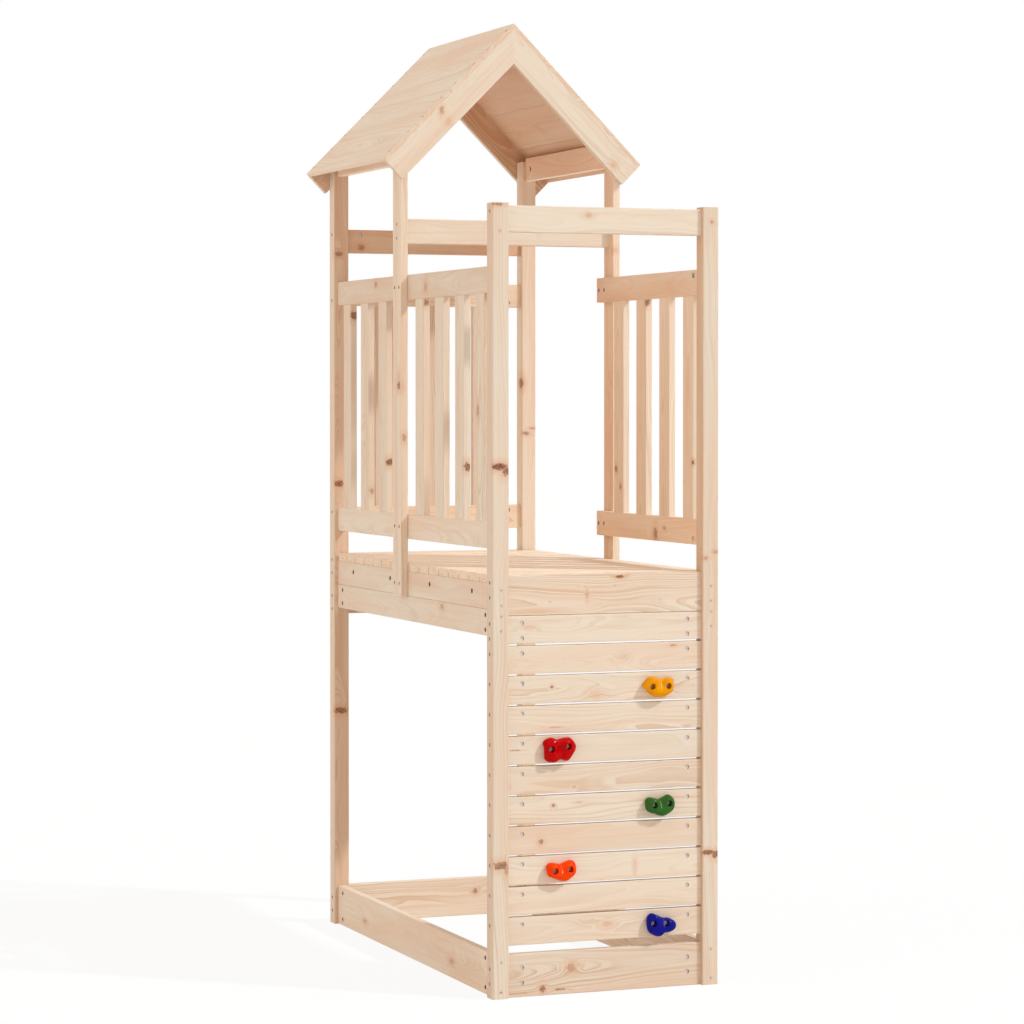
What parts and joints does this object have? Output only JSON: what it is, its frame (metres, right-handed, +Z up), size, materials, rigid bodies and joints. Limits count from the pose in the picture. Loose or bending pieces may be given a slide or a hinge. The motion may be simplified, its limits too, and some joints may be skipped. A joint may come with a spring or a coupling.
{
  "type": "climbing frame",
  "caption": "Tall wooden climbing frame: raised plank deck on posts, board climbing wall with moulded holds, slatted railings and a small gable roof.",
  "frame": {"origin": "on the ground, under the middle of the whole outline seen from above", "axes": "+Z up, +X to the right for someone facing the climbing wall, -Y the way the climbing wall faces"},
  "size_m": [0.631, 1.1485, 2.1376],
  "materials": {
    "pine": "planed, untreated",
    "dowel": "fluted beech",
    "zinc": "zinc plated",
    "hold_yellow": "moulded, glossy",
    "hold_red": "moulded, glossy",
    "hold_green": "moulded, glossy",
    "hold_orange": "moulded, glossy",
    "hold_blue": "moulded, glossy"
  },
  "bodies": {
    "root": {"post_front_left": "pine", "post_front_right": "pine", "post_back_left": "pine", "post_back_right": "pine", "roof_post_left": "pine", "roof_post_right": "pine", "base_rail_left": "pine", "base_rail_right": "pine", "base_rail_back": "pine", "base_board_front": "pine", "deck_beam_upper_left": "pine", "deck_beam_upper_right": "pine", "deck_beam_lower_left": "pine", "deck_beam_lower_right": "pine", "deck_fascia_front": "pine", "deck_fascia_back": "pine", "deck_board_back": "pine", "deck_bearers": "pine", "deck_planks": "pine", "climbing_board_01": "pine", "climbing_board_02": "pine", "climbing_board_03": "pine", "climbing_board_04": "pine", "climbing_board_05": "pine", "climbing_board_06": "pine", "climbing_board_07": "pine", "climbing_board_08": "pine", "climbing_board_09": "pine", "climbing_board_10": "pine", "climbing_board_11": "pine", "top_rail_front": "pine", "top_rail_roof": "pine", "top_rail_back": "pine", "railing_left_top_rail": "pine", "railing_left_bottom_rail": "pine", "railing_left_slats": "pine", "railing_right_top_rail": "pine", "railing_right_bottom_rail": "pine", "railing_right_slats": "pine", "railing_back_top_rail": "pine", "railing_back_bottom_rail": "pine", "railing_back_slats": "pine", "roof_boards_left": "pine", "roof_boards_right": "pine", "barge_board_front_left": "pine", "barge_board_front_right": "pine", "barge_board_back_left": "pine", "barge_board_back_right": "pine", "eave_plate_left": "pine", "eave_plate_right": "pine", "hold_yellow": "hold_yellow", "hold_red": "hold_red", "hold_green": "hold_green", "hold_orange": "hold_orange", "hold_blue": "hold_blue", "frame_bolts": "zinc", "frame_nuts": "zinc", "dowels": "dowel", "wood_screws": "zinc", "hold_fixings": "zinc"}
  },
  "joints": []
}
